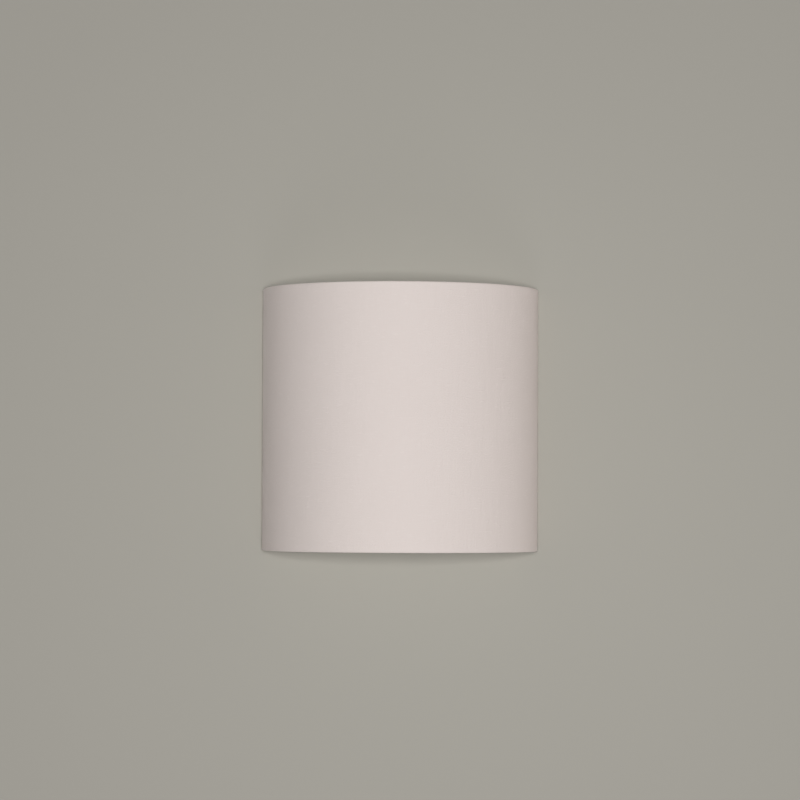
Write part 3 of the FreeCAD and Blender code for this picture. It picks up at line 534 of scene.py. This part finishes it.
def run_lengths(points):
    """How far along a line each of its points is."""
    lengths = [0.0]
    for start, end in zip(points, points[1:]):
        lengths.append(lengths[-1] + math.dist(start, end))
    return lengths


class ClothMesh:
    """The cloth's middle surface, with the flat place of each point before the cloth was wrapped."""

    def __init__(self):
        self.mesh = bmesh.new()
        self.flat = {}

    def point(self, place, u, v):
        """A point, moved in or out a little because no glued cloth lies quite true."""
        place = Vector(place)
        out = Vector((place.x, place.y - SHADE_AXIS_Y, 0)).normalized()
        stray = noise.noise(place * 38.0) * 0.06 + noise.noise(place * 160.0) * 0.035
        made = self.mesh.verts.new(place + out * (stray * MM))
        self.flat[made] = (u, v)
        return made

    def skin(self, lines):
        """Faces between lines of as many points each. Two lines may share a point."""
        for left, right in zip(lines, lines[1:]):
            for k in range(len(left) - 1):
                corners = [left[k], right[k], right[k + 1], left[k + 1]]
                if len(set(corners)) > 2:
                    self.mesh.faces.new(corners)

    def piece(self, name):
        bmesh.ops.remove_doubles(self.mesh, verts=self.mesh.verts, dist=0.03 * MM)
        layer = self.mesh.loops.layers.uv.new("weave")
        for face in self.mesh.faces:
            for loop in face.loops:
                loop[layer].uv = self.flat[loop.vert]
        data = bpy.data.meshes.new(name)
        self.mesh.to_mesh(data)
        self.mesh.free()
        return from_mesh(name, data)


def make_cloth():
    """One sheet: a half drum that is rolled over at top and bottom and round the upright wires."""
    edge = rolled_path(BAND_R - ROLL_X + ROLL_R)
    edge_run = run_lengths(edge)
    side_edge = rolled_path(SIDE_BAND_X - ROLL_X + ROLL_R)
    side_run = run_lengths(side_edge)
    columns, rows = 210, 96
    half_round = math.pi * WALL_R / 2
    heights = [ROLL_Z * (2 * k / rows - 1) for k in range(rows + 1)]
    cloth = ClothMesh()

    # Each column of the drum goes from the lower turn-in, over both rolls, to the upper turn-in.
    hem = list(zip(edge, edge_run))[1:]
    section = [(ROLL_X + out, -ROLL_Z - beyond, -ROLL_Z - run) for (out, beyond), run in reversed(hem)]
    section += [(WALL_R, z, z) for z in heights]
    section += [(ROLL_X + out, ROLL_Z + beyond, ROLL_Z + run) for (out, beyond), run in hem]
    drum = []
    for c in range(columns + 1):
        turn = math.pi * c / columns
        u = half_round * (2 * c / columns - 1)
        drum.append([
            cloth.point((-radius * math.cos(turn), SHADE_AXIS_Y - radius * math.sin(turn), z), u, v)
            for radius, z, v in section
        ])
    cloth.skin(drum)

    for side, column in ((-1, drum[0]), (1, drum[-1])):
        # The wall goes on round the upright wire.
        lines = [column[len(hem):len(hem) + rows + 1]]
        for (out, beyond), run in list(zip(side_edge, side_run))[1:]:
            lines.append([
                cloth.point((side * (ROLL_X + out), SHADE_AXIS_Y + beyond, z), side * (half_round + run), z)
                for z in heights
            ])
        cloth.skin(lines)

        # Where the level roll meets the upright one is a quarter of a ball, with one pleat.
        over = [(out, beyond, run) for (out, beyond), run in zip(edge, edge_run) if beyond >= 0]
        quarter = 8
        for up in (-1, 1):
            lines = []
            for q in range(quarter + 1):
                lean = math.pi / 2 * q / quarter
                pleat = 0.05 * math.exp(-((q - quarter / 2) ** 2) / 1.2)
                line = []
                for out, beyond, run in over:
                    reach = beyond * (1 + pleat * (beyond / ROLL_R) ** 2)
                    place = (side * (ROLL_X + out), SHADE_AXIS_Y + reach * math.sin(lean),
                             up * (ROLL_Z + reach * math.cos(lean)))
                    line.append(cloth.point(place, side * (half_round + run * math.sin(lean)),
                                            up * (ROLL_Z + run * math.cos(lean))))
                lines.append(line)
            cloth.skin(lines)

    piece = cloth.piece("shade_cloth")
    edit_all(piece)
    bpy.ops.mesh.normals_make_consistent(inside=False)
    bpy.ops.object.mode_set(mode="OBJECT")
    apply_modifier(piece, "SOLIDIFY", thickness=CLOTH, offset=0.0)
    smooth(piece, 50.0)
    finish_piece(piece, "shade", "oyster_cloth", "fabric_cover")


def make_pads():
    """The felt pads: cut blocks made fuzzy and soft at their edges."""
    pads = from_mesh("felt_pads", frame["nodes"]["wall_pads"].data.copy())
    merge_and_face_out(pads)
    apply_modifier(pads, "REMESH", mode="VOXEL", voxel_size=0.25 * MM)
    apply_modifier(pads, "SMOOTH", factor=0.5, iterations=3)
    fibres = bpy.data.textures.new("fibres", "CLOUDS")
    fibres.noise_scale = 0.6 * MM
    fibres.noise_depth = 3
    apply_modifier(pads, "DISPLACE", texture=fibres, texture_coords="LOCAL", strength=0.22 * MM)
    smooth(pads, 80.0)
    finish_piece(pads, "shade", "grey_felt", "wall_pads")


# ---------------------------------------------------------------- bulb cap and lampholder shell

LAMP_THREAD_DEPTH = 0.85 * MM
LAMP_STEPS = 84
CAP_WALL = 0.35 * MM
SHELL_WALL = 0.3 * MM
SHELL_PLAY = 0.5 * MM


def round_thread(crest):
    """Radii over one pitch of a lamp's rounded thread, from crest to crest."""
    points = 12
    return [crest - LAMP_THREAD_DEPTH * (1 - math.cos(TURN * k / points)) / 2 for k in range(points + 1)]


def make_bulb_cap():
    """A rolled screw cap: a cone at its foot, the thread, and a plain rim that is punched onto the collar."""
    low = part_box("bulb_cap")[0].z
    crest, high = LAMP_CREST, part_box("bulb_cap")[1].z
    thread_low, thread_high = low + 1.6 * MM, high - 3.6 * MM
    thread = threaded("bulb_screw_cap", round_thread(crest), LAMP_PITCH, thread_low, thread_high,
                      LAMP_STEPS, False)
    fade_thread(thread, crest - 0.15 * MM, thread_low, thread_high, LAMP_PITCH * 0.6)
    apply_modifier(thread, "SOLIDIFY", thickness=CAP_WALL, offset=-1.0)
    thread.location.y = LAMP_Y
    settle(thread)
    foot = spun("cap_foot", (0, LAMP_Y, low), UP, [
        (11.4 * MM, 0.0), (11.6 * MM, 0.0), (12.4 * MM, 0.7 * MM), (12.95 * MM, 1.4 * MM),
        (12.95 * MM, 1.65 * MM), (12.6 * MM, 1.65 * MM), (12.5 * MM, 1.4 * MM), (11.4 * MM, 0.35 * MM),
        (11.4 * MM, 0.0),
    ], LAMP_STEPS)
    inner = 12.6 * MM
    rows = [(12.95 * MM, 0.35 * MM * k) for k in range(9)]
    rim = spun("cap_rim", (0, LAMP_Y, thread_high), UP, [
        (inner, 0.0), *rows, (crest, 2.95 * MM), (crest, 3.45 * MM), (12.95 * MM, 3.6 * MM),
        (inner, 3.6 * MM), (inner, 0.0),
    ], LAMP_STEPS * 2)
    punch_rim(rim, 12.9 * MM, thread_high + 1.4 * MM, 8, 0.9 * MM, 0.35 * MM)
    cap = joined([thread, foot, rim])
    smooth(cap, 50.0)
    finish_piece(cap, "bulb", "bulb_nickel", "bulb_cap")


def punch_rim(rim, outside, height, count, size, depth):
    """Presses round dents into the outside of a rim, evenly spaced."""
    for vertex in rim.data.vertices:
        out = Vector((vertex.co.x, vertex.co.y - LAMP_Y, 0))
        if out.length < outside:
            continue
        angle = math.atan2(out.y, out.x)
        nearest = round(angle / TURN * count) * TURN / count
        away = math.hypot((angle - nearest) * out.length, vertex.co.z - height)
        vertex.co -= out.normalized() * (depth * math.exp(-((away / size) ** 2) * 2))


def make_screw_shell():
    """The threaded brass shell of the lampholder, with its lip and its foot flange."""
    low, high = (corner.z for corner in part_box("screw_shell"))
    crest = LAMP_CREST + SHELL_PLAY
    thread_low, thread_high = low + 1.0 * MM, high - 0.6 * MM
    thread = threaded("threaded_shell", round_thread(crest), LAMP_PITCH, thread_low, thread_high,
                      LAMP_STEPS, False)
    fade_thread(thread, crest, thread_low, thread_high, LAMP_PITCH * 0.4)
    apply_modifier(thread, "SOLIDIFY", thickness=SHELL_WALL, offset=1.0)
    thread.location.y = LAMP_Y
    settle(thread)
    lip = spun("shell_lip", (0, LAMP_Y, thread_high - 0.05 * MM), UP, [
        (crest, 0.0), (13.9 * MM, 0.0), (13.9 * MM, 0.5 * MM), (13.8 * MM, 0.65 * MM), (crest, 0.65 * MM),
        (crest, 0.0),
    ], LAMP_STEPS)
    foot = spun("shell_foot", (0, LAMP_Y, low), UP, [
        (13.1 * MM, 0.0), (15.2 * MM, 0.0), (15.2 * MM, 0.4 * MM), (14.2 * MM, 0.4 * MM),
        (13.9 * MM, 0.7 * MM), (13.9 * MM, 1.05 * MM), (crest, 1.05 * MM), (13.5 * MM, 0.4 * MM),
        (13.1 * MM, 0.4 * MM), (13.1 * MM, 0.0),
    ], LAMP_STEPS)
    shell = joined([thread, lip, foot])
    smooth(shell, 50.0)
    finish_piece(shell, "fixture", "brass", "screw_shell")


# ---------------------------------------------------------------- M4 screws

HEAD_R = 4.0 * MM
HEAD_TALL = 2.6 * MM
HEAD_EDGE = 1.17 * MM
SLOT_WIDE = 1.0 * MM
SLOT_DEEP = 1.1 * MM


def machine_screw(name, seat, outwards, length, slot_angle):
    """A dome-headed, slotted screw. Its head stands outwards on its seat."""
    seat, outwards = Vector(seat), Vector(outwards)
    dome = HEAD_TALL - HEAD_EDGE
    ball = (HEAD_R**2 + dome**2) / (2 * dome)
    section = [(0.0, 0.0), (HEAD_R - 0.25 * MM, 0.0), (HEAD_R, 0.22 * MM), (HEAD_R, HEAD_EDGE)]
    for k in range(1, 7):
        radius = HEAD_R * math.cos(math.pi / 2 * k / 7)
        section.append((radius, HEAD_TALL - ball + math.sqrt(ball**2 - radius**2)))
    section.append((0.0, HEAD_TALL))
    head = spun(name, seat, outwards, section, 48)

    upright = Vector((0, 0, 1)).rotation_difference(outwards)
    deselect()
    bpy.ops.mesh.primitive_cube_add(size=1.0, location=seat + outwards * (HEAD_TALL + MM - SLOT_DEEP))
    blade = bpy.context.object
    blade.scale = (3 * HEAD_R, SLOT_WIDE, 2 * MM)
    blade.rotation_mode = "QUATERNION"
    blade.rotation_quaternion = upright @ Vector((1, 0, 0)).rotation_difference(
        Vector((math.cos(slot_angle), math.sin(slot_angle), 0)))
    settle(blade)
    apply_modifier(head, "BOOLEAN", operation="DIFFERENCE", solver="EXACT", object=blade)
    bpy.data.objects.remove(blade)
    apply_modifier(head, "BEVEL", width=0.08 * MM, segments=2, limit_method="ANGLE",
                   angle_limit=math.radians(40))

    crest, root = 2.0 * MM, 1.6 * MM
    shank = threaded(name + "_shank", [crest, crest, root, root, crest], M4_PITCH, -length, 0.2 * MM,
                     28, True)
    shank.rotation_mode = "QUATERNION"
    shank.rotation_quaternion = upright
    shank.location = seat
    settle(shank)
    screw = joined([head, shank])
    smooth(screw, 35.0)
    return screw


def make_screws():
    plate_front = -24.0 * MM
    arm_front = -26.0 * MM
    earth_seat = (30.0 * MM, -22.2 * MM, -24.0 * MM)
    plate = [
        machine_screw("plate_screw_left", (-38.0 * MM, plate_front, 0), FORWARD, 23.0 * MM, 0.35),
        machine_screw("plate_screw_right", (38.0 * MM, plate_front, 0), FORWARD, 23.0 * MM, -0.9),
    ]
    finish_piece(joined(plate), "fixture", "nickel_screw", "plate_screws")
    arm = [
        machine_screw("arm_screw_upper", (0, arm_front, -43.0 * MM), FORWARD, 7.4 * MM, 1.2),
        machine_screw("arm_screw_lower", (0, arm_front, -58.0 * MM), FORWARD, 7.4 * MM, 0.15),
    ]
    finish_piece(joined(arm), "fixture", "nickel_screw", "arm_screws")
    earth = machine_screw("earth_clamp_screw", earth_seat, (0, 1, 0), 5.0 * MM, 0.6)
    finish_piece(earth, "fixture", "brass", "earth_screw")


# ---------------------------------------------------------------- leads

# Routes in millimetres, from the terminal block to the other end.
LIVE_ROUTE = [
    (-10.0, -16.9, 20.0), (-10.0, -16.9, 4.0), (-9.0, -15.5, -14.0), (-3.5, -12.0, -40.0),
    (-1.25, -12.5, -62.0), (-1.25, -12.5, -86.0), (-1.25, -19.5, -101.0), (-1.25, -35.5, -107.5),
    (-1.25, -49.0, -106.5), (-1.25, -60.0, -104.0), (-1.25, -64.0, -94.5), (-1.25, -64.0, -68.0),
]
NEUTRAL_ROUTE = [
    (0.0, -16.9, 20.0), (0.0, -16.9, 4.0), (0.0, -15.5, -14.0), (0.0, -12.0, -40.0),
    (1.25, -12.5, -62.0), (1.25, -12.5, -86.0), (1.25, -19.5, -101.0), (1.25, -35.5, -107.5),
    (1.25, -49.0, -106.5), (1.25, -60.0, -104.0), (1.25, -64.0, -94.5), (1.25, -64.0, -68.0),
]
EARTH_ROUTE = [
    (10.0, -16.9, 20.0), (10.0, -16.9, 6.0), (18.0, -15.9, 0.0), (26.0, -20.2, 2.0),
    (30.0, -21.2, -10.4), (30.0, -21.2, -18.4),
]


def smooth_line(name, route):
    """Points along the smooth curve that a route guides."""
    curve = bpy.data.curves.new(name, "CURVE")
    curve.dimensions = "3D"
    line = curve.splines.new("NURBS")
    line.points.add(len(route) - 1)
    for at, place in zip(line.points, route):
        at.co = tuple(c * MM for c in place) + (1.0,)
    line.order_u = 3
    line.use_endpoint_u = True
    line.resolution_u = 10
    guide = from_mesh(name, curve)
    bpy.context.view_layer.update()
    traced = bpy.data.meshes.new_from_object(guide)
    points = [vertex.co.copy() for vertex in traced.vertices]
    bpy.data.objects.remove(guide)
    bpy.data.meshes.remove(traced)
    return points


def make_lead(node, slot, route):
    """A lead as a tube along its route. Its map goes once round it and, in metres, along it."""
    path = smooth_line(node + "_guide", route)
    runs = run_lengths(path)
    sides = 18
    mesh = bmesh.new()
    layer = mesh.loops.layers.uv.new("wound")
    side = (path[1] - path[0]).orthogonal()
    rings = []
    for k, at in enumerate(path):
        ahead = (path[min(k + 1, len(path) - 1)] - path[max(k - 1, 0)]).normalized()
        side = (side - ahead * side.dot(ahead)).normalized()
        across = ahead.cross(side)
        ring = []
        for s in range(sides):
            a = TURN * s / sides
            ring.append(mesh.verts.new(at + (side * math.cos(a) + across * math.sin(a)) * LEAD_R))
        rings.append(ring)
    for k in range(len(rings) - 1):
        for s in range(sides):
            t = (s + 1) % sides
            face = mesh.faces.new((rings[k][s], rings[k][t], rings[k + 1][t], rings[k + 1][s]))
            corners = ((s, k), (s + 1, k), (s + 1, k + 1), (s, k + 1))
            for loop, (step, row) in zip(face.loops, corners):
                loop[layer].uv = (step / sides, runs[row])
    mesh.faces.new(list(reversed(rings[0])))
    mesh.faces.new(rings[-1])
    data = bpy.data.meshes.new(node)
    mesh.to_mesh(data)
    mesh.free()
    piece = from_mesh(node + "_wire", data)
    smooth(piece, 60.0)
    finish_piece(piece, "fixture", slot, node)


# ---------------------------------------------------------------- stage


def make_wall():
    """The painted wall, painted lighter round the shade as a pool of painted light. It is seen only from the
    front, so that the light's back can be looked at.
    """
    deselect()
    bpy.ops.mesh.primitive_plane_add(size=9.0, location=(0, 0.4 * MM, 0.4), rotation=(math.pi / 2, 0, 0))
    wall = bpy.context.object
    wall.name = "wall"
    settle(wall)
    f = Finish("wall_paint_and_light_pool", {"Specular IOR Level": 0.2})
    # Painted light: the wall's colour is lightest within 0.15 m of a point a little right of and below the
    # shade's middle. It fades to the plainer colour by 0.55 m, as a painted pool of light round the shade.
    away = f.node("ShaderNodeVectorMath", {"operation": "DISTANCE"},
                  {0: f.place(), 1: (0.10, 0.0, -0.02)}, output="Value")
    f.paint(f.mix(f.ramp(away, 0.15, 0.55), (0.375, 0.359, 0.320), (0.351, 0.335, 0.299)), 0.9,
            f.cloudy(900.0), 0.1 * MM, 0.15)
    behind = f.node("ShaderNodeNewGeometry", output="Backfacing")
    clear = f.node("ShaderNodeBsdfTransparent")
    seen = f.node("ShaderNodeMixShader", None, {0: behind, 1: Value(f, f.surface.outputs[0]), 2: clear})
    f.tree.links.new(seen.socket, f.tree.nodes["Material Output"].inputs["Surface"])
    wall.data.materials.append(f.material)
    wall.visible_shadow = False


def make_floor():
    """The floor, far below. It glows a little, so that it is pale, but it lights and shades nothing."""
    deselect()
    bpy.ops.mesh.primitive_plane_add(size=40.0, location=(0, 0, -2.3))
    floor = bpy.context.object
    floor.name = "floor"
    settle(floor)
    f = Finish("floor_paint", {
        "Specular IOR Level": 0.2, "Emission Color": (0.62, 0.615, 0.60, 1.0), "Emission Strength": 0.75,
    })
    f.paint(f.mix(f.cloudy(1.5), (0.62, 0.615, 0.60), (0.66, 0.655, 0.64)), 0.8, f.cloudy(300.0), 0.1 * MM)
    floor.data.materials.append(f.material)
    floor.visible_diffuse = False
    floor.visible_shadow = False


# ---------------------------------------------------------------- build

set_camera()
light_room()
finishes = make_finishes()
for part in frame["record"]["subparts"]:
    node = frame["nodes"][part["node"]]
    node.data.materials.clear()
    node.data.materials.append(finishes[part["material_slot"]])
make_lead("live_lead", "brown_lead", LIVE_ROUTE)
make_lead("neutral_lead", "blue_lead", NEUTRAL_ROUTE)
make_lead("earth_lead", "green_yellow_lead", EARTH_ROUTE)
make_cloth()
make_pads()
make_bulb_cap()
make_screw_shell()
make_screws()
make_wall()
make_floor()
deselect()
